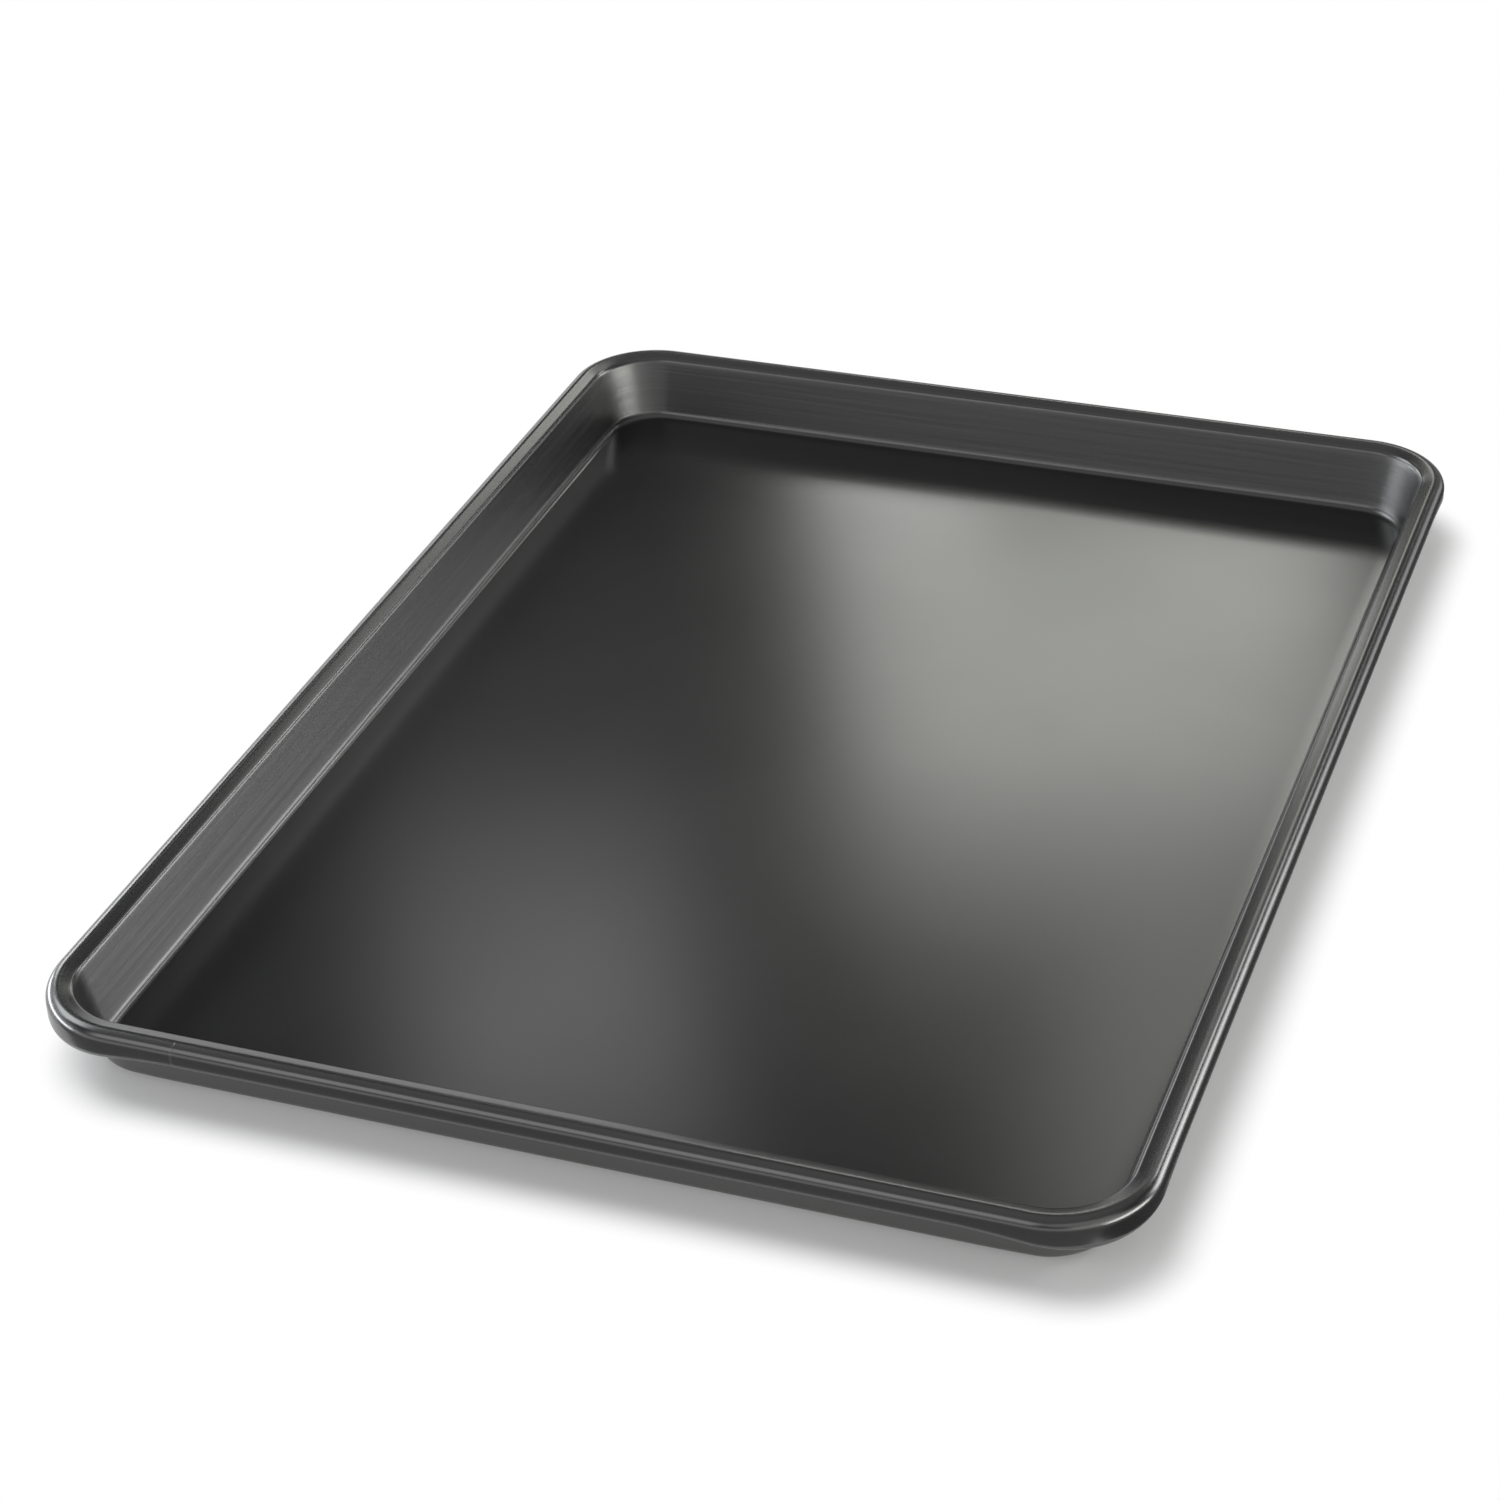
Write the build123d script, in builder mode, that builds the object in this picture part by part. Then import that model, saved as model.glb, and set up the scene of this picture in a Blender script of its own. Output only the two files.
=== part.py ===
from build123d import *
import os
from math import cos, radians, sin

# Jelly roll pan: one metal sheet drawn into a shallow tray, with its rim curled outwards
# and down round a stiff wire. Millimetres and degrees. +Z is up, X runs across the pan and
# Y along it. The origin is at the middle of the underside, which rests on the table.

# Size over the curled rim
pan_width = 320.0
pan_length = 447.0
pan_height = 23.0
rim_corner_radius = 29.5

# Sheet
sheet_thickness = 0.8
wall_lean = 12.5
floor_bend_radius = 3.0
brim_bend_radius = 2.0
shelf_fall = 16.0
shelf_run = 2.65
curl_turn = 255.0

# Wire inside the curl, a loop whose two ends meet on the near side
wire_diameter = 5.4
wire_clearance = 0.1
wire_joint_gap = 0.6
wire_joint_from_corner = 15.5

# The curl holds the wire, so the wire and the sheet set its outer radius
curl_inner_radius = wire_diameter / 2 + wire_clearance
curl_radius = curl_inner_radius + sheet_thickness
curl_height = pan_height - curl_radius

# Turns of the sheet: from the shelf down to the wall, and from the wall out to the floor
wall_angle = 90 - wall_lean
brim_turn = wall_angle - shelf_fall
brim_middle_radius = brim_bend_radius - sheet_thickness / 2
floor_middle_radius = floor_bend_radius + sheet_thickness / 2

# Straight part of the wall: what is left of the height between its two bends
brim_start_height = (
    curl_height
    + (curl_radius - sheet_thickness / 2) * cos(radians(shelf_fall))
    - shelf_run * sin(radians(shelf_fall))
)
brim_drop = brim_middle_radius * (cos(radians(shelf_fall)) - cos(radians(wall_angle)))
floor_bend_rise = floor_middle_radius * (1 - cos(radians(wall_angle)))
wall_drop = brim_start_height - brim_drop - floor_bend_rise - sheet_thickness / 2
wall_run = wall_drop / sin(radians(wall_angle))

# How far in from the outermost edge the flat floor begins
floor_inset = (
    curl_radius
    + (curl_radius - sheet_thickness / 2) * sin(radians(shelf_fall))
    + shelf_run * cos(radians(shelf_fall))
    + brim_middle_radius * (sin(radians(wall_angle)) - sin(radians(shelf_fall)))
    + wall_run * cos(radians(wall_angle))
    + floor_middle_radius * sin(radians(wall_angle))
)
floor_corner_radius = rim_corner_radius - floor_inset

# The rim's straight sides end at these places, and the corners' quarter turns begin
corner_x = pan_width / 2 - rim_corner_radius
corner_y = pan_length / 2 - rim_corner_radius
wire_joint_x = -corner_x + wire_joint_from_corner


def draw_loop(inset, height, gap):
    # Once round the pan, anticlockwise from the joint on the near side, at a constant
    # distance in from the rim's outermost edge. The four corners are concentric.
    near_y = inset - pan_length / 2
    side = Line((wire_joint_x + gap / 2, near_y, height), (corner_x, near_y, height))
    for straight in (2 * corner_y, 2 * corner_x, 2 * corner_y):
        turn = JernArc(side @ 1, side % 1, radius=rim_corner_radius - inset, arc_size=90)
        side = PolarLine(turn @ 1, straight, direction=turn % 1)
    turn = JernArc(side @ 1, side % 1, radius=rim_corner_radius - inset, arc_size=90)
    Line(turn @ 1, (wire_joint_x - gap / 2, near_y, height))


def draw_sheet_face(curl, brim_bend, floor_bend):
    # One face of the sheet, from its raw edge under the shelf, round the wire, over the
    # shelf and down the wall to the flat floor. Inset runs along x and height along y.
    raw_edge = radians(90 - shelf_fall + curl_turn)
    raw_edge_point = (curl_radius + curl * cos(raw_edge), curl_height + curl * sin(raw_edge))
    roll = JernArc(raw_edge_point, (sin(raw_edge), -cos(raw_edge)), curl, -curl_turn)
    shelf = PolarLine(roll @ 1, shelf_run, direction=roll % 1)
    brim = JernArc(shelf @ 1, shelf % 1, brim_bend, -brim_turn)
    wall = PolarLine(brim @ 1, wall_run, direction=brim % 1)
    foot = JernArc(wall @ 1, wall % 1, floor_bend, wall_angle)
    return raw_edge_point, foot @ 1


# Drawn sheet: the flat floor, and the rolled section carried once round it
with BuildLine() as rim_path:
    draw_loop(0, 0, 0)

path_start = rim_path.line @ 0
path_heading = rim_path.line % 0
section_plane = Plane(path_start, x_dir=Vector(0, 0, 1).cross(path_heading), z_dir=path_heading)

with BuildPart() as pan_shell:
    with BuildSketch(Plane.XY):
        RectangleRounded(
            pan_width - 2 * floor_inset, pan_length - 2 * floor_inset, floor_corner_radius
        )
    extrude(amount=sheet_thickness)
    with BuildSketch(section_plane):
        with BuildLine():
            upper_edge, upper_foot = draw_sheet_face(
                curl_radius, brim_bend_radius, floor_bend_radius
            )
            under_edge, under_foot = draw_sheet_face(
                curl_inner_radius,
                brim_bend_radius - sheet_thickness,
                floor_bend_radius + sheet_thickness,
            )
            Line(upper_edge, under_edge)
            Line(upper_foot, under_foot)
        make_face()
    sweep(path=rim_path.line)
pan_shell.part.label = "pan_shell"

# Rim wire: round bar bent to the rim's outline, its ends butted but not joined
with BuildPart() as rim_wire:
    with BuildLine() as wire_path:
        draw_loop(curl_radius, curl_height, wire_joint_gap)
    with BuildSketch(Plane(wire_path.line @ 0, z_dir=wire_path.line % 0)):
        Circle(wire_diameter / 2)
    sweep(path=wire_path.line)
rim_wire.part.label = "rim_wire"

os.makedirs("parts", exist_ok=True)
export_step(pan_shell.part, "parts/pan_shell.step")
export_step(rim_wire.part, "parts/rim_wire.step")

inside_width = pan_width - 2 * floor_inset
inside_length = pan_length - 2 * floor_inset
print("flat floor", round(inside_width, 1), "x", round(inside_length, 1))
print("floor corner radius", round(floor_corner_radius, 2), "wall run", round(wall_run, 2))
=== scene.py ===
from math import cos, pi, radians, sin, tan

import bmesh
import bpy
import numpy as np
from mathutils import Matrix, Quaternion, Vector


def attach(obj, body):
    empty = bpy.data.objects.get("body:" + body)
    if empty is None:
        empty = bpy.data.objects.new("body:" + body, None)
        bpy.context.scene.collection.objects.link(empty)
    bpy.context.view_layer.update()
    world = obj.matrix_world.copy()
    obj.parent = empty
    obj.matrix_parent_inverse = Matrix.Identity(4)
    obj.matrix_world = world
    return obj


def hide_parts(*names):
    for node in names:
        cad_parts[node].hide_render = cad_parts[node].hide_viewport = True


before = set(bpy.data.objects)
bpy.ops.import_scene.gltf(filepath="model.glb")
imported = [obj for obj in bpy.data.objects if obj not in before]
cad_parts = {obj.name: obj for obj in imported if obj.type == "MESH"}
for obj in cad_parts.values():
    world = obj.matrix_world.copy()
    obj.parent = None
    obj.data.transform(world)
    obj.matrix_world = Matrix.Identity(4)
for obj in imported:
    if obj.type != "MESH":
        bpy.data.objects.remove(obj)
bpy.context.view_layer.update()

# Jelly roll pan, in metres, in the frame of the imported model: +Z up, Y along the pan, the
# middle of the underside at the origin. It is one drawn sheet with its rim rolled round a wire.

scene = bpy.context.scene


def addObject(name, data):
    made = bpy.data.objects.new(name, data)
    scene.collection.objects.link(made)
    return made


# Camera

cameraSetup = {
    "position": (0.31414, -0.88577, 0.59332),
    "azimuth": 20.835,      # degrees round the pan, from its near side
    "elevation": 32.054,
    "roll": -2.144,
    "lens": 84.695,         # mm, on a square picture as wide as the sensor
    "sensor": 36.0,
    "clip": (0.01, 50),     # m, the nearest and the farthest that it sees
}


def makeCamera(setup):
    azimuth, elevation, roll = (radians(setup[key]) for key in ("azimuth", "elevation", "roll"))
    back = Vector((sin(azimuth) * cos(elevation), -cos(azimuth) * cos(elevation), sin(elevation)))
    right = Vector((0, 0, 1)).cross(back).normalized()
    up = back.cross(right)
    axes = (cos(roll) * right + sin(roll) * up, cos(roll) * up - sin(roll) * right, back)
    lens = bpy.data.cameras.new("camera")
    lens.lens, lens.sensor_width = setup["lens"], setup["sensor"]
    lens.clip_start, lens.clip_end = setup["clip"]
    camera = addObject("camera", lens)
    turn = Matrix(axes).transposed().to_4x4()
    camera.matrix_world = Matrix.Translation(setup["position"]) @ turn
    scene.camera = camera


makeCamera(cameraSetup)
print("camera placed")


# Node trees: sockets in sums, and every other node by one call

class Value:
    def __init__(self, tree, socket):
        self.tree, self.socket = tree, socket

    def math(self, operation, *others):
        return self.tree.math(operation, self, *others)

    def __add__(self, other):
        return self.math("ADD", other)

    def __sub__(self, other):
        return self.math("SUBTRACT", other)

    def __rsub__(self, other):
        return self.tree.math("SUBTRACT", other, self)

    def __mul__(self, other):
        return self.math("MULTIPLY", other)

    def __truediv__(self, other):
        return self.math("DIVIDE", other)

    def __pow__(self, other):
        return self.math("POWER", other)

    __radd__, __rmul__ = __add__, __mul__

    def within(self, low, high):  # 0 below low, 1 above high, smooth between them
        return self.tree.node("ShaderNodeMapRange", {"interpolation_type": "SMOOTHSTEP"},
                              {"Value": self, "From Min": low, "From Max": high})


class Tree:
    def __init__(self, nodeTree):
        self.nodes, self.links = nodeTree.nodes, nodeTree.links

    def node(self, kind, settings=None, sockets=None, output=0):
        made = self.nodes.new(kind)
        for key, setting in (settings or {}).items():
            setattr(made, key, setting)
        for key, given in (sockets or {}).items():
            socket = self.findSocket(made.inputs, key)
            for value in given if isinstance(given, list) else [given]:
                if isinstance(value, Value):
                    self.links.new(value.socket, socket)
                else:
                    socket.default_value = value
        return None if output is None else Value(self, self.findSocket(made.outputs, output))

    def findSocket(self, sockets, key):
        if isinstance(key, int):
            return [socket for socket in sockets if socket.enabled][key]
        return next(socket for socket in sockets if socket.enabled and socket.name == key)

    def math(self, operation, *values):
        return self.node("ShaderNodeMath", {"operation": operation}, dict(enumerate(values)))

    def vectorMath(self, operation, *vectors):
        settings = {"operation": operation}
        return self.node("ShaderNodeVectorMath", settings, dict(enumerate(vectors)))

    def vector(self, x, y, z):
        return self.node("ShaderNodeCombineXYZ", None, {"X": x, "Y": y, "Z": z})

    def parts(self, vector):
        split = self.node("ShaderNodeSeparateXYZ", None, {"Vector": vector})
        return [Value(self, socket) for socket in split.socket.node.outputs]

    def noise(self, vector, scale=1.0, detail=2.0, roughness=0.5):
        return self.node("ShaderNodeTexNoise", None, {
            "Vector": vector, "Scale": scale, "Detail": detail, "Roughness": roughness})

    def keep(self, geometry, name, value, kind="FLOAT"):  # stores a field on the points
        return self.node("GeometryNodeStoreNamedAttribute", {"data_type": kind, "domain": "POINT"},
                         {"Geometry": geometry, "Name": name, "Value": value})

    def kept(self, name, kind="FLOAT_VECTOR"):
        return self.node("GeometryNodeInputNamedAttribute", {"data_type": kind}, {"Name": name})

    def lookedAt(self):  # 1 where the camera, a reflection or a view through glass sees it
        direct = self.node("ShaderNodeLightPath", None, None, "Is Camera Ray")
        outputs = direct.socket.node.outputs
        mirrored, through = (Value(self, outputs[name])
                             for name in ("Is Glossy Ray", "Is Transmission Ray"))
        return direct.math("MAXIMUM", mirrored).math("MAXIMUM", through)

    def blend(self, factor, first, second):  # of two colours
        return self.node("ShaderNodeMix", {"data_type": "RGBA"},
                         {"Factor": factor, "A": first, "B": second})


def newMaterial(name):
    material = bpy.data.materials.new(name)
    material.use_nodes = True
    material.node_tree.nodes.clear()
    return material, Tree(material.node_tree)


def grey(level, warmth=0.0):
    return (level * (1 + warmth), level, level * (1 - warmth), 1)


# The sheet's section: a walk along its middle line from the floor to the raw edge

sheetSection = {
    "height": 0.022999,
    "thickness": 0.0008,
    "floorBend": 0.003,         # radius of the inner face at the floor
    "wallLean": 12.5,           # degrees from upright
    "brimBend": 0.002,          # radius of the inner face at the wall's top
    "shelfFall": 16.0,          # degrees, falling inwards from the curl
    "shelfRun": 0.00265,
    "curlRadius": 0.0036,       # outside
    "curlTurn": 255.0,          # degrees
    "edgeRounding": 0.00022,    # how far the raw edge bulges
    "edgeSquareness": 0.5,      # 1 would be half an ellipse, and less is squarer
    "edgeSteps": 8,
    "floorSteps": 4,
    "wallSteps": 9,
    "shelfSteps": 3,
    "degreesPerStep": 5.2,      # in the bends
}


def forward(turn):
    return Vector((cos(turn), sin(turn)))


def leftward(turn):
    return Vector((-sin(turn), cos(turn)))


def walkSheet(part, floorRun):
    # Returns the stations as (place, heading), and the number of each stretch's last one
    half = part["thickness"] / 2
    floorRadius, brimRadius = part["floorBend"] + half, part["brimBend"] - half
    curlRadius = part["curlRadius"] - half
    steep, fall = radians(90 - part["wallLean"]), radians(part["shelfFall"])
    shelfStart = (part["height"] - part["curlRadius"] + curlRadius * cos(fall)
                  - part["shelfRun"] * sin(fall))
    wallDrop = (shelfStart - brimRadius * (cos(fall) - cos(steep))
                - floorRadius * (1 - cos(steep)) - half)
    moves = (
        ("run", floorRun, part["floorSteps"]),
        ("turn", floorRadius, steep),
        ("run", wallDrop / sin(steep), part["wallSteps"]),
        ("turn", brimRadius, fall - steep),
        ("run", part["shelfRun"], part["shelfSteps"]),
        ("turn", curlRadius, -radians(part["curlTurn"])),
    )
    place, heading = Vector((0, half)), 0.0
    stations, lastOnes = [(place, heading)], []
    for kind, size, amount in moves:
        if kind == "run":
            for _ in range(amount):
                place = place + forward(heading) * size / amount
                stations.append((place, heading))
        else:
            side = 1 if amount > 0 else -1
            centre = place + leftward(heading) * size * side
            steps = round(abs(amount) / radians(part["degreesPerStep"]))
            for _ in range(steps):
                heading += amount / steps
                place = centre - leftward(heading) * size * side
                stations.append((place, heading))
        lastOnes.append(len(stations) - 1)
    return stations, lastOnes


def outermost(part, stations):
    return max(place.x for place, _ in stations) + part["thickness"] / 2


def closeSection(part, floorRun):
    # Returns the closed section as (outward distance, height), upper face first, and how far
    # along it each stretch ends
    stations, lastOnes = walkSheet(part, floorRun)
    reach = outermost(part, stations)
    half = part["thickness"] / 2
    upper = [place + leftward(turn) * half for place, turn in stations]
    lower = [place - leftward(turn) * half for place, turn in stations]
    end, heading = stations[-1]
    edge = []
    for step in range(1, part["edgeSteps"]):
        angle = pi * (0.5 - step / part["edgeSteps"])
        bulge = part["edgeRounding"] * cos(angle) ** part["edgeSquareness"]
        aside = half * abs(sin(angle)) ** part["edgeSquareness"] * (1 if angle > 0 else -1)
        edge.append(end + forward(heading) * bulge + leftward(heading) * aside)
    outline = upper + edge + lower[::-1]
    travel = [0.0]
    for first, second in zip(outline, outline[1:]):
        travel.append(travel[-1] + (second - first).length)
    names = ("foot", "wallStart", "brim", "shelf", "curl", "edge")
    places = {name: travel[station] for name, station in zip(names, lastOnes)}
    places["edgeEnd"] = travel[len(upper) + len(edge)]
    places["end"] = travel[-1]
    return [(point.x - reach, point.y) for point in outline], places


panSize = {
    "width": 0.31998,           # a hair under 320 and 447 mm, to stay inside the solids' box
    "length": 0.44698,
    "cornerRadius": 0.0295,
    "cornerSteps": 26,
    "cellsAcross": 44,
    "cellsAlong": 64,
    "weld": 0.00001,            # m within which two points become one
    # The roll hangs a little below a true round, and more in the corners, where the metal
    # gathers; the wall's foot draws in there. Reach is measured round the rim from a corner's
    # middle to where the change has died out.
    "rollDrop": 0.0008,
    "rollMargin": 0.00005,      # from the roll's middle down to where it begins to hang
    "cornerDrop": 0.0028,
    "dropReach": 0.044,
    "footDraw": 0.0018,
    "drawReach": 0.037,
    "brimInset": 0.0082,        # from the rim's outermost edge
    "jointX": -0.1094,          # where the wire's ends meet, inside the near side
}

# The floor's flat part starts where the corners' common centre lies, so the four corners of
# every ring are concentric and the innermost ring is a plain rectangle.
floorInset = outermost(sheetSection, walkSheet(sheetSection, 0.0)[0])
floorRun = panSize["cornerRadius"] - floorInset
sectionOutline, sectionPlaces = closeSection(sheetSection, floorRun)
print("section made,", len(sectionOutline), "points, stretches end at",
      {name: round(travel, 5) for name, travel in sectionPlaces.items()})


# Geometry trees

def polyCurve(name, points):
    curve = bpy.data.curves.new(name, "CURVE")
    curve.dimensions = "3D"
    spline = curve.splines.new("POLY")
    spline.points.add(len(points) - 1)
    for point, place in zip(spline.points, points):
        point.co = (*place, 1)
    return addObject(name, curve)


def newGeometryTree(name, inputs):
    nodeTree = bpy.data.node_groups.new(name, "GeometryNodeTree")
    nodeTree.interface.new_socket("Geometry", in_out="INPUT", socket_type="NodeSocketGeometry")
    for label, kind in inputs:
        nodeTree.interface.new_socket(label, in_out="INPUT", socket_type="NodeSocket" + kind)
    nodeTree.interface.new_socket("Geometry", in_out="OUTPUT", socket_type="NodeSocketGeometry")
    tree = Tree(nodeTree)
    group = nodeTree.nodes.new("NodeGroupInput")
    given = {socket.name: Value(tree, socket) for socket in group.outputs}
    return nodeTree, tree, given


def finishGeometryTree(tree, geometry, material):
    smooth = tree.node("GeometryNodeSetShadeSmooth", None, {"Geometry": geometry})
    real = tree.node("GeometryNodeRealizeInstances", None, {"Geometry": smooth})
    dressed = tree.node("GeometryNodeSetMaterial", None, {"Geometry": real, "Material": material})
    tree.node("NodeGroupOutput", None, {"Geometry": dressed}, None)


def splineParameter(tree, output):
    return tree.node("GeometryNodeSplineParameter", None, None, output)


def drawnCurve(tree, curve):
    return tree.node("GeometryNodeObjectInfo", {"transform_space": "ORIGINAL"},
                     {"Object": curve}, "Geometry")


def runTree(name, nodeTree, values):
    # The tree's result as a plain mesh in a new object; the carrier with the modifier goes
    carrier = addObject(name + "Carrier", bpy.data.meshes.new(name + "Carrier"))
    modifier = carrier.modifiers.new(name, "NODES")
    modifier.node_group = nodeTree
    for socket in nodeTree.interface.items_tree:
        if socket.in_out == "INPUT" and socket.name in values:
            modifier[socket.identifier] = values[socket.name]
    graph = bpy.context.evaluated_depsgraph_get()
    mesh = bpy.data.meshes.new_from_object(carrier.evaluated_get(graph), depsgraph=graph)
    mesh.name = name
    carrier.modifiers.clear()
    bpy.data.objects.remove(carrier)
    return addObject(name, mesh)


neverRound = 10.0   # m, a length for a travel that comes round nowhere


def layTravelMap(mesh, roundLength=neverRound, sectionLength=neverRound):
    # UV in metres: along the rim, and along the section. A face over the start of either
    # gets the full length at its far corners, so nothing runs backwards there.
    count = len(mesh.loops)
    corner = np.zeros(count, int)
    mesh.loops.foreach_get("vertex_index", corner)
    starts = np.zeros(len(mesh.polygons), int)
    mesh.polygons.foreach_get("loop_start", starts)
    sizes = np.diff(np.append(starts, count))
    unrolled = []
    for name, length in (("rimTravel", roundLength), ("sheetTravel", sectionLength)):
        travel = np.zeros(len(mesh.vertices))
        mesh.attributes[name].data.foreach_get("value", travel)
        travel = travel[corner]
        farthest = np.repeat(np.maximum.reduceat(travel, starts), sizes)
        unrolled.append(np.where(farthest - travel > length / 2, travel + length, travel))
    layer = mesh.uv_layers.new(name="travelMap")
    layer.data.foreach_set("uv", np.column_stack(unrolled).astype(np.float32).ravel())
    for name in ("rimTravel", "sheetTravel", "rimPoint", "rimOutward", "sectionPlace",
                 "rollDrop", "footDraw"):
        if name in mesh.attributes:
            mesh.attributes.remove(mesh.attributes[name])


def pointOutwards(mesh):
    shape = bmesh.new()
    shape.from_mesh(mesh)
    bmesh.ops.recalc_face_normals(shape, faces=shape.faces)
    loose = sum(1 for edge in shape.edges if len(edge.link_faces) != 2)
    print(mesh.name, len(shape.verts), "points,", len(shape.faces), "faces,", loose, "open edges,",
          "volume", round(shape.calc_volume(signed=True) * 1e6, 2), "cm3")
    shape.to_mesh(mesh)
    shape.free()


# Pan shell: the section carried round the rim, and a flat grid over the rest of the floor

def rimPathNodes(tree, given):
    # Rounded rectangle along the rim's outermost edge, with short steps on the straights too
    box = tree.node("GeometryNodeCurvePrimitiveQuadrilateral", {"mode": "RECTANGLE"},
                    {"Width": given["Width"], "Height": given["Length"]})
    rounded = tree.node("GeometryNodeFilletCurve", {"mode": "POLY"}, {
        "Curve": box, "Count": given["Corner Steps"], "Radius": given["Corner Radius"]})
    here = tree.node("GeometryNodeInputPosition")
    index = tree.node("GeometryNodeInputIndex")
    following = tree.node("GeometryNodeOffsetPointInCurve", None,
                          {"Point Index": index, "Offset": 1}, "Point Index")
    there = tree.node("GeometryNodeFieldAtIndex", {"data_type": "FLOAT_VECTOR", "domain": "POINT"},
                      {"Index": following, "Value": here})
    step = tree.vectorMath("SUBTRACT", there, here)
    stepX, stepY = (part.math("ABSOLUTE") for part in tree.parts(step)[:2])
    isLong = (stepX + stepY).math("GREATER_THAN", given["Corner Radius"])
    isAcross = stepX.math("GREATER_THAN", stepY)
    cells = isAcross * given["Cells Across"] + (1 - isAcross) * given["Cells Along"]
    cuts = (cells - 1) * isLong
    return tree.node("GeometryNodeSubdivideCurve", None, {"Curve": rounded, "Cuts": cuts})


def rimFieldNodes(tree, given):
    # The path, with each point's place, its way outwards, and how far the roll hangs and the
    # wall's foot draws in there
    here = tree.node("GeometryNodeInputPosition")
    cornerX, cornerY = (given[side] * 0.5 - given["Corner Radius"] for side in ("Width", "Length"))
    below = tree.vectorMath("MINIMUM", here, tree.vector(cornerX, cornerY, 0.0))
    nearest = tree.vectorMath("MAXIMUM", below, tree.vector(0 - cornerX, 0 - cornerY, 0.0))
    outward = tree.vectorMath("NORMALIZE", tree.vectorMath("SUBTRACT", here, nearest))
    # How far round the rim from the nearest corner's middle
    outX, outY = (part.math("ABSOLUTE") for part in tree.parts(outward)[:2])
    hereX, hereY = (part.math("ABSOLUTE") for part in tree.parts(here)[:2])
    turned = (outY.math("ARCTAN2", outX) - pi / 4).math("ABSOLUTE") * given["Corner Radius"]
    beforeX = (cornerX - hereX).math("MAXIMUM", 0.0)
    beforeY = (cornerY - hereY).math("MAXIMUM", 0.0)
    fromCorner = turned + beforeX + beforeY
    cornerDrop = given["Corner Drop"] * (1 - fromCorner.within(0.0, given["Drop Reach"]))
    footDraw = given["Foot Draw"] * (1 - fromCorner.within(0.0, given["Draw Reach"]))
    path = rimPathNodes(tree, given)
    path = tree.keep(path, "rollDrop", given["Roll Drop"] + cornerDrop)
    path = tree.keep(path, "footDraw", footDraw)
    path = tree.keep(path, "rimPoint", here, "FLOAT_VECTOR")
    path = tree.keep(path, "rimOutward", outward, "FLOAT_VECTOR")
    return tree.keep(path, "rimTravel", splineParameter(tree, "Length"))


def sheetPlaceNodes(tree, given):
    # Where a point of the swept sheet goes: out from its path point by its place in the
    # section, with the roll lowered and the foot drawn in
    across, height = tree.parts(tree.kept("sectionPlace"))[:2]
    inset = 0 - across
    isLow = height.math("LESS_THAN", given["Roll Height"])
    isRoll = inset.math("LESS_THAN", given["Brim Inset"])
    lowered = height - isLow * isRoll * tree.kept("rollDrop", "FLOAT")
    fromBrim = (inset - given["Brim Inset"]) / (given["Floor Inset"] - given["Brim Inset"])
    fromCentre = (given["Corner Radius"] - inset) / (given["Corner Radius"] - given["Floor Inset"])
    share = fromBrim.math("MAXIMUM", 0.0).math("MINIMUM", fromCentre).math("MINIMUM", 1.0)
    outwards = across - share * tree.kept("footDraw", "FLOAT")
    raised = tree.vectorMath("ADD", tree.kept("rimPoint"), tree.vector(0, 0, lowered))
    return tree.vectorMath("MULTIPLY_ADD", tree.kept("rimOutward"),
                           tree.vector(outwards, outwards, outwards), raised)


def flatNodes(tree, given, height, travelled):
    # One face of the floor between the corners' centres
    flat = tree.node("GeometryNodeMeshGrid", None, {
        "Size X": given["Width"] - 2 * given["Corner Radius"],
        "Size Y": given["Length"] - 2 * given["Corner Radius"],
        "Vertices X": given["Cells Across"] + 1,
        "Vertices Y": given["Cells Along"] + 1,
    }, "Mesh")
    flat = tree.node("GeometryNodeTransform", None,
                     {"Geometry": flat, "Translation": tree.vector(0, 0, height)})
    return tree.keep(flat, "sheetTravel", travelled)


def makeShellTree():
    nodeTree, tree, given = newGeometryTree("sweptSheet", [
        ("Section", "Object"), ("Width", "Float"), ("Length", "Float"), ("Corner Radius", "Float"),
        ("Corner Steps", "Int"), ("Cells Across", "Int"), ("Cells Along", "Int"),
        ("Thickness", "Float"), ("Section End", "Float"), ("Roll Height", "Float"),
        ("Roll Drop", "Float"), ("Corner Drop", "Float"), ("Drop Reach", "Float"),
        ("Foot Draw", "Float"), ("Draw Reach", "Float"), ("Brim Inset", "Float"),
        ("Floor Inset", "Float"), ("Weld", "Float"), ("Material", "Material"),
    ])
    section = drawnCurve(tree, given["Section"])
    here = tree.node("GeometryNodeInputPosition")
    section = tree.keep(section, "sectionPlace", here, "FLOAT_VECTOR")
    section = tree.keep(section, "sheetTravel", splineParameter(tree, "Length"))
    swept = tree.node("GeometryNodeCurveToMesh", None, {
        "Curve": rimFieldNodes(tree, given), "Profile Curve": section})
    swept = tree.node("GeometryNodeSetPosition", None, {
        "Geometry": swept, "Position": sheetPlaceNodes(tree, given)})
    upper = flatNodes(tree, given, given["Thickness"], 0.0)
    lower = flatNodes(tree, given, 0.0, given["Section End"])
    joined = tree.node("GeometryNodeJoinGeometry", None, {"Geometry": [swept, upper, lower]})
    closed = tree.node("GeometryNodeMergeByDistance", None, {
        "Geometry": joined, "Distance": given["Weld"]})
    finishGeometryTree(tree, closed, given["Material"])
    return nodeTree


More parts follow.
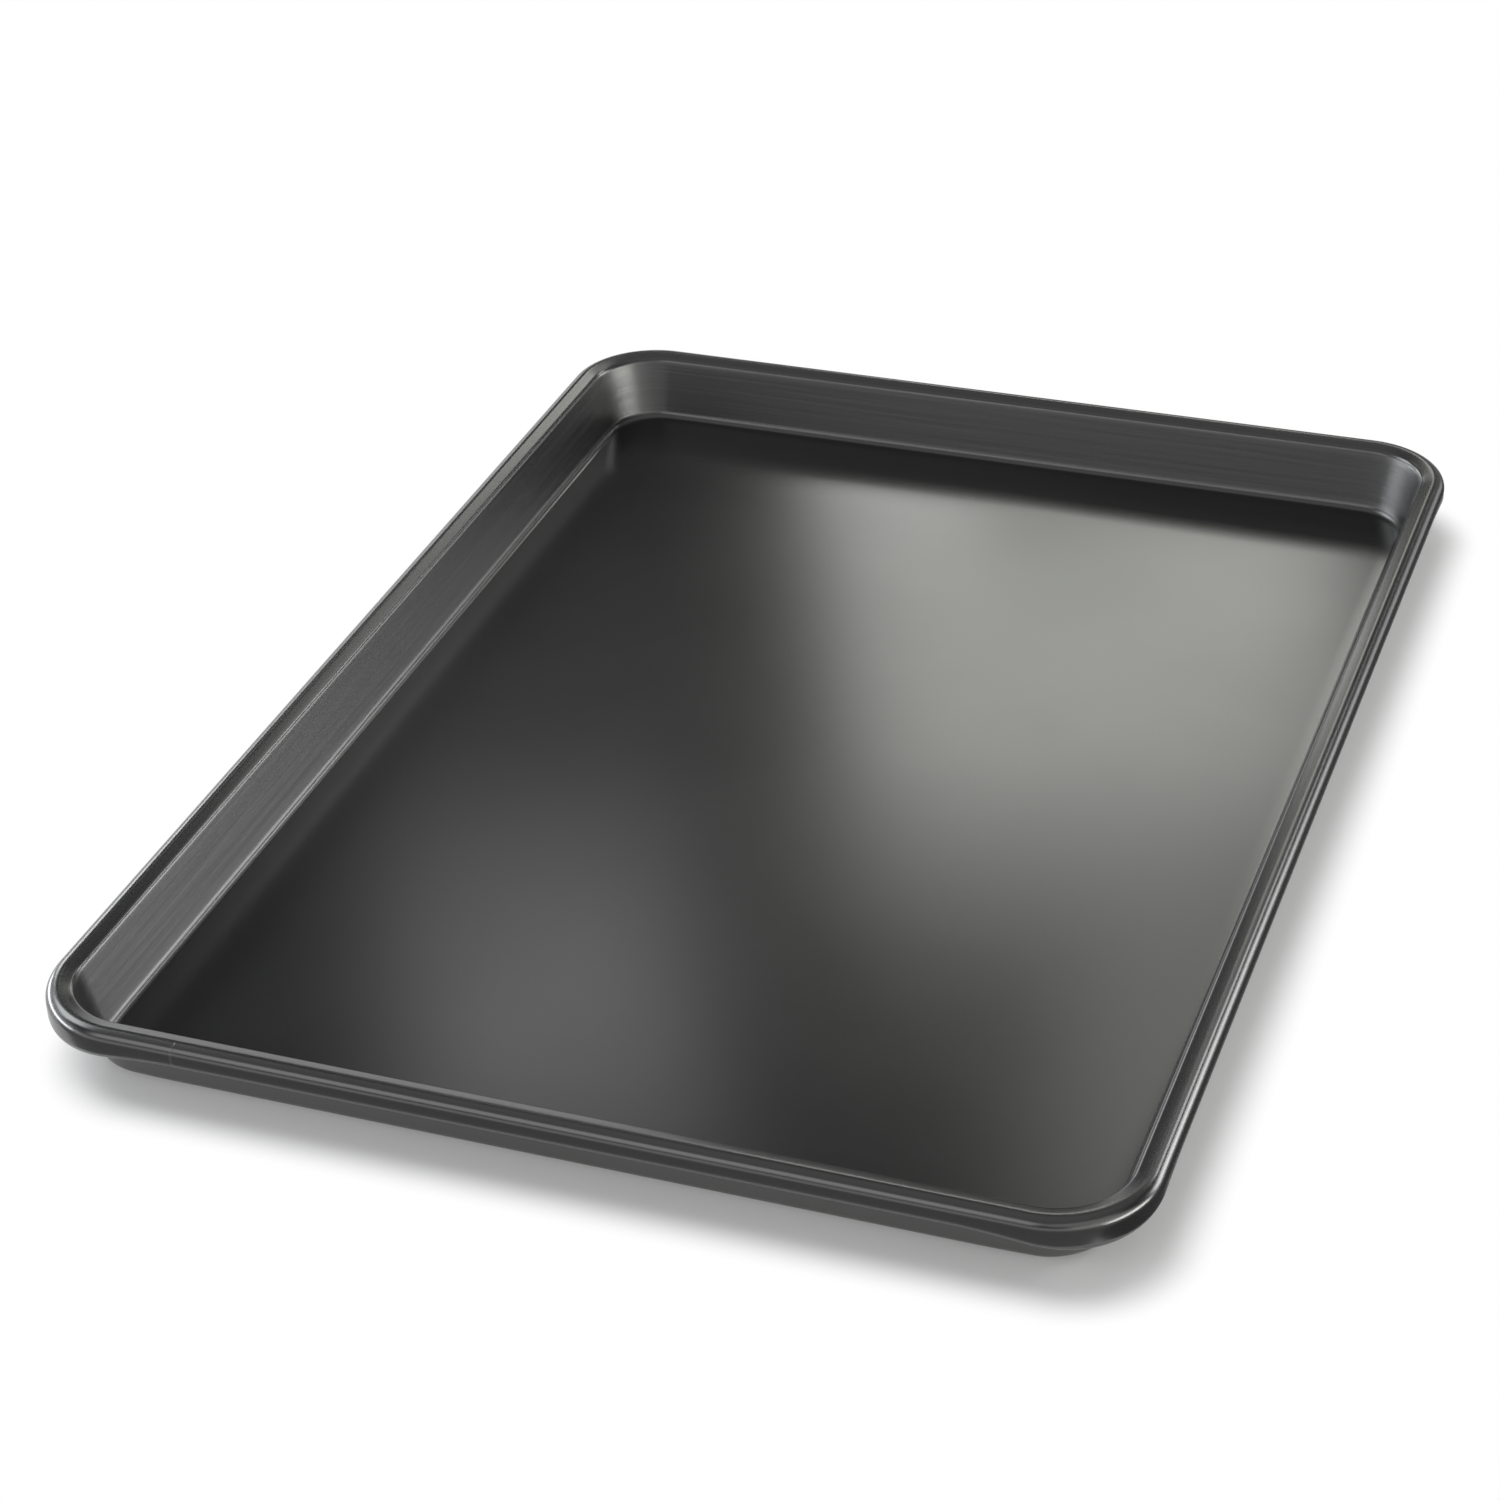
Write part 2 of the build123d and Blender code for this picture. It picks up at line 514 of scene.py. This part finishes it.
coating = {
    "paint": 0.010,                 # how light the coat itself is
    "backPaintAndSheen": (0.075, 0.01),     # and the duller coat of the outer face, with its warmth, made lighter too as painted reflection of the floor on the outer wall
    "rawEdge": (0.30, 0.02),        # and the bare cut edge
    "gloss": 2.0,                   # index of refraction
    "roughness": 0.195,             # of the floor, and what other places add to it
    "wallDulling": 0.077,
    "streakDulling": 0.14,
    "rimDulling": 0.04,
    "backDulling": 0.12,
    "edgeDulling": 0.18,
    "patchDulling": 0.06,
    "patchTones": (0.9, 1.1),       # shares of the paint, in the darker and the lighter patches
    # The other tones are shares of the paint too, each with how much of it shows
    "streakTone": (0.75, 0.5),
    "wornTone": (2.2, 0.35),        # where handling has rubbed the top of the curl
    "jointTone": (5, 0.8),          # over the wire's joint
    "jointWarmth": 0.06,
    # Spans of noise over which each of them comes in
    "patchSpan": (0.3, 0.7),
    "streakSpan": (0.35, 0.75),
    "wornSpan": (0.5, 0.75),
    "patchesPerMetre": 9.0,
    "grainWidth": 0.0007,           # m across a grain of the floor's coat
    "grainDepth": 0.0000006,
    "streakWidth": 0.0019,          # m across a drawing line on the wall
    "streakLength": 0.09,           # m along it
    "streakDepth": 0.00007,
    "broadStreaks": (0.5, 0.28),    # how many broad ones to a fine one, along and across
    "tickWidth": 0.0011,            # m along the rim between roller marks on the curl
    "ticksAcross": 60,              # rows of them to a metre
    "tickDepth": 0.000001,
    "wornPerMetre": 55.0,
    "wornHeights": (0.0222, 0.0231),
    "jointSpan": (0.00015, 0.0006),     # m from the joint's middle, where its mark fades out
    "jointInset": (0.0005, 0.0055),     # and m in from the rim's edge, where it does
    "jointDepth": 0.00004,
    "backFade": 0.0005,             # m of sheet over which one finish passes into the next
    "edgeFade": 0.0001,
}


def sheetMasks(along, places, setup):
    # Where on the sheet: 0 to 1 over its travel from the floor to the raw edge and back
    edge, edgeEnd = places["edge"], places["edgeEnd"]
    offFloor = along.within(places["foot"], places["wallStart"])
    onWall = offFloor * (1 - along.within(places["brim"], places["shelf"]))
    onCurl = along.within(places["shelf"], places["curl"]) \
        * (1 - along.within(edge - setup["backFade"], edge))
    onEdge = along.within(edge - setup["edgeFade"], edge) \
        * (1 - along.within(edgeEnd, edgeEnd + setup["edgeFade"]))
    onBack = along.within(edgeEnd, edgeEnd + setup["backFade"])
    return offFloor, onWall, onCurl, onEdge, onBack


def makeCoating(setup, places, size):
    material, tree = newMaterial("coatedSheet")
    around, along = tree.parts(tree.node("ShaderNodeUVMap", {"uv_map": "travelMap"}))[:2]
    spot = tree.node("ShaderNodeTexCoord", None, None, "Object")
    x, y, z = tree.parts(spot)
    offFloor, onWall, onCurl, onEdge, onBack = sheetMasks(along, places, setup)
    # Drawing lines: fine across the sheet, long along the rim
    lineX, lineY = x / setup["streakLength"], y / setup["streakLength"]
    lineAcross = along / setup["streakWidth"]
    streaks = tree.noise(tree.vector(lineX, lineY, lineAcross), detail=1.0)
    fewer, wider = setup["broadStreaks"]
    broad = tree.noise(tree.vector(lineX * fewer, lineY * fewer, lineAcross * wider))
    tickSpot = tree.vector(around / setup["tickWidth"], along * setup["ticksAcross"], 0.0)
    ticks = tree.noise(tickSpot, detail=1.0)
    patches = tree.noise(spot, setup["patchesPerMetre"], detail=3.0, roughness=0.55)
    grain = tree.noise(spot, 1 / setup["grainWidth"])
    # Faint mark over the butt joint of the wire
    fromJoint = (x - size["jointX"]).math("ABSOLUTE")
    nearEnd, farEnd = (inset - size["length"] / 2 for inset in setup["jointInset"])
    joint = (1 - fromJoint.within(*setup["jointSpan"])) * (1 - y.within(nearEnd, farEnd)) * onCurl
    rubbed = tree.noise(spot, setup["wornPerMetre"], detail=4.0, roughness=0.7)
    worn = onCurl * z.within(*setup["wornHeights"]) * rubbed.within(*setup["wornSpan"])
    paint = setup["paint"]
    dark, light = (grey(paint * tone) for tone in setup["patchTones"])
    colour = tree.blend(patches.within(*setup["patchSpan"]), dark, light)
    tone, amount = setup["streakTone"]
    streaked = onWall * broad.within(*setup["streakSpan"]) * amount
    colour = tree.blend(streaked, colour, grey(paint * tone))
    tone, amount = setup["wornTone"]
    colour = tree.blend(worn * amount, colour, grey(paint * tone))
    tone, amount = setup["jointTone"]
    colour = tree.blend(joint * amount, colour, grey(paint * tone, setup["jointWarmth"]))
    # The outer face is lighter than the inside: partly a duller coat, partly painted reflection
    colour = tree.blend(onBack, colour, grey(*setup["backPaintAndSheen"]))
    colour = tree.blend(onEdge, colour, grey(*setup["rawEdge"]))
    rough = setup["roughness"] + (patches - 0.5) * setup["patchDulling"] \
        + onWall * (setup["wallDulling"] + streaks * setup["streakDulling"]) \
        + onBack * setup["backDulling"] + onEdge * setup["edgeDulling"] \
        + onCurl * setup["rimDulling"]
    relief = grain * setup["grainDepth"] * (1 - offFloor) \
        + onWall * streaks * setup["streakDepth"] \
        + onCurl * ticks * setup["tickDepth"] - joint * setup["jointDepth"]
    bump = tree.node("ShaderNodeBump", None, {
        "Strength": 1.0, "Distance": 1.0, "Height": relief}, "Normal")
    surface = tree.node("ShaderNodeBsdfPrincipled", None, {
        "Base Color": colour, "Metallic": onEdge, "Roughness": rough, "IOR": setup["gloss"],
        "Normal": bump})
    tree.node("ShaderNodeOutputMaterial", None, {"Surface": surface}, None)
    return material


sectionCurve = polyCurve("sectionCurve", [(across, height, 0) for across, height in sectionOutline])
perimeter = 2 * (panSize["width"] + panSize["length"] - 4 * panSize["cornerRadius"]) \
    + 2 * pi * panSize["cornerRadius"]
panShell = runTree("panShell", makeShellTree(), {
    "Section": sectionCurve, "Width": panSize["width"], "Length": panSize["length"],
    "Corner Radius": panSize["cornerRadius"], "Corner Steps": panSize["cornerSteps"],
    "Cells Across": panSize["cellsAcross"], "Cells Along": panSize["cellsAlong"],
    "Thickness": sheetSection["thickness"], "Section End": sectionPlaces["end"],
    "Roll Height": sheetSection["height"] - sheetSection["curlRadius"] - panSize["rollMargin"],
    "Roll Drop": panSize["rollDrop"], "Corner Drop": panSize["cornerDrop"],
    "Drop Reach": panSize["dropReach"], "Foot Draw": panSize["footDraw"],
    "Draw Reach": panSize["drawReach"], "Brim Inset": panSize["brimInset"],
    "Floor Inset": floorInset, "Weld": panSize["weld"],
    "Material": makeCoating(coating, sectionPlaces, panSize),
})
layTravelMap(panShell.data, roundLength=perimeter)
pointOutwards(panShell.data)
bpy.data.objects.remove(sectionCurve)
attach(panShell, "root")
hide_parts("pan_shell")
print("pan shell made")


# Rim wire: a round bar inside the roll, its two ends butted but not joined

wire = {
    "diameter": 0.0054,
    "inset": 0.0036,            # from the rim's outermost edge to its middle
    "height": 0.0194,           # of its middle
    "jointGap": 0.0006,
    "endRounding": 0.0006,
    "endSteps": 5,
    "sides": 24,
    "zinc": (0.45, 0.46, 0.47),
    "darkShare": 0.72,          # of the zinc, in the darker patches of the plating
    "patchSpan": (0.35, 0.65),  # of noise, from the darker patches to the lighter ones
    "dullTone": (0.3, -0.02),   # and its warmth, in spots that have gone dull
    "dullAmount": 0.5,
    "dullSpan": (0.5, 0.7),
    "roughness": 0.42,          # and what other places add to it
    "patchDulling": 0.2,
    "lineDulling": 0.1,
    "spotDulling": 0.15,
    "patchWidth": 0.004,        # m across a patch of the plating
    "patchDepth": 0.000004,
    "lineWidth": 0.00035,       # m round the bar between the lines of its drawing
    "linesPerMetre": 30,        # along it
    "lineDepth": 0.00001,
    "spotsPerMetre": 40.0,
}


def makeWirePlating(setup):
    material, tree = newMaterial("platedWire")
    around, along = tree.parts(tree.node("ShaderNodeUVMap", {"uv_map": "travelMap"}))[:2]
    spot = tree.node("ShaderNodeTexCoord", None, None, "Object")
    lineSpot = tree.vector(around * setup["linesPerMetre"], along / setup["lineWidth"], 0.0)
    lines = tree.noise(lineSpot, detail=3.0, roughness=0.6)
    patches = tree.noise(spot, 1 / setup["patchWidth"], detail=3.0, roughness=0.6)
    spots = tree.noise(spot, setup["spotsPerMetre"], detail=4.0, roughness=0.65)
    dull = spots.within(*setup["dullSpan"])
    dark = tuple(level * setup["darkShare"] for level in setup["zinc"])
    colour = tree.blend(patches.within(*setup["patchSpan"]), (*dark, 1), (*setup["zinc"], 1))
    colour = tree.blend(dull * setup["dullAmount"], colour, grey(*setup["dullTone"]))
    rough = setup["roughness"] + (patches - 0.5) * setup["patchDulling"] \
        + (lines - 0.5) * setup["lineDulling"] + dull * setup["spotDulling"]
    relief = lines * setup["lineDepth"] + patches * setup["patchDepth"]
    bump = tree.node("ShaderNodeBump", None, {
        "Strength": 1.0, "Distance": 1.0, "Height": relief}, "Normal")
    surface = tree.node("ShaderNodeBsdfPrincipled", None, {
        "Base Color": colour, "Metallic": 1.0, "Roughness": rough, "Normal": bump})
    tree.node("ShaderNodeOutputMaterial", None, {"Surface": surface}, None)
    return material


def wirePoints(setup, size):
    # Once round, anticlockwise from one end to the other, with points close together at both
    # ends, where the bar's edge is rounded
    height = setup["height"]
    radius = size["cornerRadius"] - setup["inset"]
    cornerX, cornerY = (size[key] / 2 - size["cornerRadius"] for key in ("width", "length"))
    nearY = setup["inset"] - size["length"] / 2
    quarter = [pi / 2 * step / setup["endSteps"] for step in range(setup["endSteps"] + 1)]
    rounding = [setup["endRounding"] * (1 - cos(angle)) for angle in quarter]
    startX, endX = (size["jointX"] + side * setup["jointGap"] / 2 for side in (1, -1))
    points = [(startX + step, nearY, height) for step in rounding]
    for centreX, centreY, start in ((cornerX, -cornerY, -90), (cornerX, cornerY, 0),
                                    (-cornerX, cornerY, 90), (-cornerX, -cornerY, 180)):
        for step in range(size["cornerSteps"] + 1):
            angle = radians(start + 90 * step / size["cornerSteps"])
            points.append((centreX + radius * cos(angle), centreY + radius * sin(angle), height))
    return points + [(endX - step, nearY, height) for step in rounding[::-1]]


def makeWireTree():
    nodeTree, tree, given = newGeometryTree("sweptWire", [
        ("Path", "Object"), ("Diameter", "Float"), ("Sides", "Int"), ("End Rounding", "Float"),
        ("Material", "Material"),
    ])
    # Each end's edge is a quarter round: the bar thins over the last of its length
    travel = splineParameter(tree, "Length")
    whole = tree.node("GeometryNodeSplineLength", None, None, "Length")
    fromEnd = travel.math("MINIMUM", whole - travel).math("MINIMUM", given["End Rounding"])
    missing = 1 - fromEnd / given["End Rounding"]
    lost = (1 - (1 - missing * missing).math("MAXIMUM", 0.0) ** 0.5) * given["End Rounding"]
    radius = given["Diameter"] * 0.5 - lost
    path = tree.keep(drawnCurve(tree, given["Path"]), "rimTravel", travel)
    ring = tree.node("GeometryNodeCurvePrimitiveCircle", {"mode": "RADIUS"},
                     {"Resolution": given["Sides"], "Radius": 1.0})
    ring = tree.keep(ring, "sheetTravel", splineParameter(tree, "Factor") * given["Diameter"] * pi)
    swept = tree.node("GeometryNodeCurveToMesh", None, {
        "Curve": path, "Profile Curve": ring, "Scale": radius, "Fill Caps": True})
    finishGeometryTree(tree, swept, given["Material"])
    return nodeTree


wireCurve = polyCurve("wireCurve", wirePoints(wire, panSize))
rimWire = runTree("rimWire", makeWireTree(), {
    "Path": wireCurve, "Diameter": wire["diameter"], "Sides": wire["sides"],
    "End Rounding": wire["endRounding"], "Material": makeWirePlating(wire),
})
bpy.data.objects.remove(wireCurve)
layTravelMap(rimWire.data, sectionLength=pi * wire["diameter"])
pointOutwards(rimWire.data)
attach(rimWire, "root")
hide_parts("rim_wire")
print("rim wire made")


# Lights

# Soft boxes round the pan: azimuth from +Y towards +X and elevation in degrees with the
# distance in metres, their size in degrees as seen from the pan, a turn in their own plane,
# how bright the face is, and its tint
overheadFrom = 70   # degrees of elevation from which a width is no longer an azimuth
softBoxes = {
    "backUpperBox": ((-11.6, 29.8, 2.2), (14, 8.5), 8, 2.72, (0.985, 1.0, 0.935)),
    "backLowerBox": ((-4, 19.5, 2.2), (14, 13), 8, 0.66, (0.985, 1.0, 0.935)),
    "backSlitBox": ((-16.8, 21.8, 1.2), (6, 6), 8, 2.3, (0.985, 1.0, 0.96)),
    "backLeftBox": ((-50, 22, 2.2), (12, 14), 0, 5.5, (0.97, 0.99, 1.0)),
    "backLeftLowBox": ((-37.5, 17, 2.2), (10, 10), 0, 1.7, (0.97, 0.99, 1.0)),
    "smallBox": ((-28, 38, 2.2), (9, 8), 0, 1.15, (1.0, 1.0, 1.0)),
    "brimBox": ((24, 37, 2.2), (13, 9), 0, 5.5, (1.0, 1.0, 1.0)),
    "backHighBox": ((8, 42, 2.2), (40, 8), 0, 1.2, (1.0, 1.0, 0.98)),
    "backRightBox": ((41, 19, 2.2), (10, 22), 0, 3.9, (1.0, 1.0, 1.0)),
    "rightBackBox": ((54, 17, 2.2), (20, 18), 0, 5.0, (1.0, 1.0, 1.0)),
    "rightLowBox": ((97, 4.2, 2.2), (46, 8), 0, 9.5, (0.985, 1.0, 0.94)),
    "rightBox": ((120, 20, 2.2), (60, 20), 0, 0.87, (0.985, 1.0, 0.94)),
    "rightHighBox": ((135, 40, 2.2), (70, 20), 0, 0.81, (1.0, 1.0, 1.0)),
    "leftLowBox": ((-90, 4.2, 2.2), (60, 8), 0, 11.5, (0.94, 0.97, 1.0)),
    "leftBox": ((-90, 22, 2.2), (60, 16), 0, 0.73, (0.94, 0.97, 1.0)),
    "keyBox": ((-80, 41, 2.2), (40, 21), 0, 4.1, (0.95, 0.98, 1.0)),
    "behindBox": ((-158, 37, 2.2), (50, 24), 0, 1.5, (1.0, 1.0, 1.0)),
    "topBox": ((0, 89, 2.2), (45, 45), 0, 0.10, (1.0, 1.0, 1.0)),
}


def makeSoftBox(name, direction, spread, turn, level, tint):
    azimuth, elevation = (radians(angle) for angle in direction[:2])
    distance = direction[2]
    toward = Vector((sin(azimuth) * cos(elevation), cos(azimuth) * cos(elevation), sin(elevation)))
    lamp = bpy.data.lights.new(name, "AREA")
    lamp.shape = "RECTANGLE"
    narrowing = cos(elevation) if direction[1] < overheadFrom else 1.0
    lamp.size = 2 * distance * tan(radians(spread[0] / 2)) * narrowing
    lamp.size_y = 2 * distance * tan(radians(spread[1] / 2))
    lamp.energy = level * lamp.size * lamp.size_y * pi
    lamp.color = tint
    box = addObject(name, lamp)
    box.location = toward * distance
    box.rotation_mode = "QUATERNION"
    box.rotation_quaternion = toward.to_track_quat("Z", "Y") @ Quaternion((0, 0, 1), radians(turn))
    box.visible_camera = False


for name, box in softBoxes.items():
    makeSoftBox(name, *box)
print("soft boxes placed")


# Floor, room and cards

surroundings = {
    "paper": 0.9,               # how light the floor's paper is
    "lift": 0.09,               # what it gives of its own, where it is seen
    "reach": 6.0,               # m from the middle to its edge
    "openingInset": 0.0172,     # m from the rim's outermost edge in to the hole under the base
    "openingSteps": 12,         # round each of its corners
    "drop": 0.0001,             # m below the pan's underside
    "shadowShift": (0.0055, -0.003),    # m that the pan's outline is moved for its shadow
    "plainFrom": -0.0072,       # m out from that outline, where the paper begins to turn white
    "plainAt": 0.0088,          # and where it is plain white
    "horizon": 1.0,             # how bright the room is at eye level and below
    "ceiling": 0.04,            # and higher up, where it lights the pan only faintly
    "zenith": 0.3,              # and right overhead
    "dimFrom": 0.2,             # heights in the room's sphere between which it dims
    "dimAt": 0.37,
    "zenithFrom": 0.66,         # and brightens again
    "zenithAt": 0.85,
}


def makeFloorPaper(setup, size):
    # White paper with the pan's shadow on it, plain white further out, and seen from above only
    material, tree = newMaterial("floorPaper")
    x, y, z = tree.parts(tree.node("ShaderNodeTexCoord", None, None, "Object"))
    shiftX, shiftY = setup["shadowShift"]
    corner = size["cornerRadius"]
    beside = ((x - shiftX).math("ABSOLUTE") - (size["width"] / 2 - corner)).math("MAXIMUM", 0.0)
    beyond = ((y - shiftY).math("ABSOLUTE") - (size["length"] / 2 - corner)).math("MAXIMUM", 0.0)
    outside = (beside * beside + beyond * beyond) ** 0.5 - corner
    plain = outside.within(setup["plainFrom"], setup["plainAt"])
    seen = tree.lookedAt()
    paper = tree.node("ShaderNodeBsdfDiffuse", None, {"Color": grey(setup["paper"])})
    lift = tree.node("ShaderNodeEmission", None, {"Strength": seen * setup["lift"]})
    white = tree.node("ShaderNodeEmission", None, {"Strength": 1.0})
    lit = tree.node("ShaderNodeAddShader", None, {0: paper, 1: lift})
    lit = tree.node("ShaderNodeMixShader", None, {0: plain * seen, 1: lit, 2: white})
    clear = tree.node("ShaderNodeBsdfTransparent", None, {"Color": grey(1.0)})
    fromBelow = tree.node("ShaderNodeNewGeometry", None, None, "Backfacing")
    surface = tree.node("ShaderNodeMixShader", None, {0: fromBelow, 1: lit, 2: clear})
    tree.node("ShaderNodeOutputMaterial", None, {"Surface": surface}, None)
    return material


def makeFloor(setup, size):
    # A sheet of paper with a hole exactly under the pan's base, so that the underside can be
    # seen and is lit from below
    mesh = bpy.data.meshes.new("studioFloor")
    far, height, steps = setup["reach"], -setup["drop"], setup["openingSteps"]
    corner = size["cornerRadius"]
    radius = corner - setup["openingInset"]
    centreX, centreY = (size[key] / 2 - corner for key in ("width", "length"))
    inner, outer = [], []
    for turn, (sideX, sideY) in enumerate(((1, 1), (-1, 1), (-1, -1), (1, -1))):
        for step in range(steps + 1):
            angle = pi / 2 * (turn + step / steps)
            x = sideX * centreX + radius * cos(angle)
            y = sideY * centreY + radius * sin(angle)
            inner.append((x, y, height))
            outer.append((x + far * cos(angle), y + far * sin(angle), height))
    count = len(inner)
    following = [(place + 1) % count for place in range(count)]
    faces = [(place, place + count, after + count, after) for place, after in enumerate(following)]
    mesh.from_pydata(inner + outer, [], faces)
    mesh.materials.append(makeFloorPaper(setup, size))
    addObject("studioFloor", mesh)


def makeRoom(setup):
    world = bpy.data.worlds.new("studioRoom")
    scene.world = world
    world.use_nodes = True
    world.node_tree.nodes.clear()
    tree = Tree(world.node_tree)
    height = tree.parts(tree.node("ShaderNodeTexCoord", None, None, "Generated"))[2]
    low = 1 - height.within(setup["dimFrom"], setup["dimAt"])
    overhead = height.within(setup["zenithFrom"], setup["zenithAt"])
    strength = setup["ceiling"] + overhead * (setup["zenith"] - setup["ceiling"]) \
        + tree.lookedAt() * low * (setup["horizon"] - setup["ceiling"])
    direct = tree.node("ShaderNodeLightPath", None, None, "Is Camera Ray")
    strength = strength + direct * (setup["horizon"] - strength)  # plain behind the pan
    room = tree.node("ShaderNodeBackground", None, {"Color": grey(1.0), "Strength": strength})
    tree.node("ShaderNodeOutputWorld", None, {"Surface": room}, None)


stripTurn = 4       # degrees round the pan to a face of a standing card
cardLift = 0.001    # m from the table to a lying one


def standingStrip(start, end, height):
    # Upright, round the pan at 1 m, between two azimuths
    turns = [radians(turn) for turn in range(start, end + 1, stripTurn)]
    return [((sin(turn), cos(turn), 0), (sin(turn), cos(turn), height)) for turn in turns]


def lyingStrip(acrossFrom, acrossTo, alongFrom, alongTo):
    return [((acrossFrom, along, cardLift), (acrossTo, along, cardLift))
            for along in (alongFrom, alongTo)]


# Grey cards that only reflections see, as strips of pairs of points: two stand behind the
# pan, one lies beside it and one in front of it
cards = {
    "backCard": {"level": 0.1, "strip": standingStrip(-20, 4, 0.3)},
    "backMiddleCard": {"level": 0.3, "strip": standingStrip(4, 24, 0.44)},
    "besideCard": {"level": 0.1, "strip": lyingStrip(0.164, 0.9, 0.6, -0.227)},
    "frontCard": {"level": 0.3, "strip": lyingStrip(-0.3, 0.9, -0.227, -0.9)},
}


def makeCard(name, setup):
    mesh = bpy.data.meshes.new(name)
    points = [point for pair in setup["strip"] for point in pair]
    faces = [(first, first + 2, first + 3, first + 1) for first in range(0, len(points) - 2, 2)]
    mesh.from_pydata(points, [], faces)
    card = addObject(name, mesh)
    material, tree = newMaterial(name)
    shade = tree.node("ShaderNodeEmission", None, {"Strength": setup["level"]})
    tree.node("ShaderNodeOutputMaterial", None, {"Surface": shade}, None)
    mesh.materials.append(material)
    card.visible_camera = card.visible_diffuse = card.visible_shadow = False


makeFloor(surroundings, panSize)
makeRoom(surroundings)
for name, card in cards.items():
    makeCard(name, card)
print("floor, room and cards made")

scene.view_settings.view_transform = "Standard"
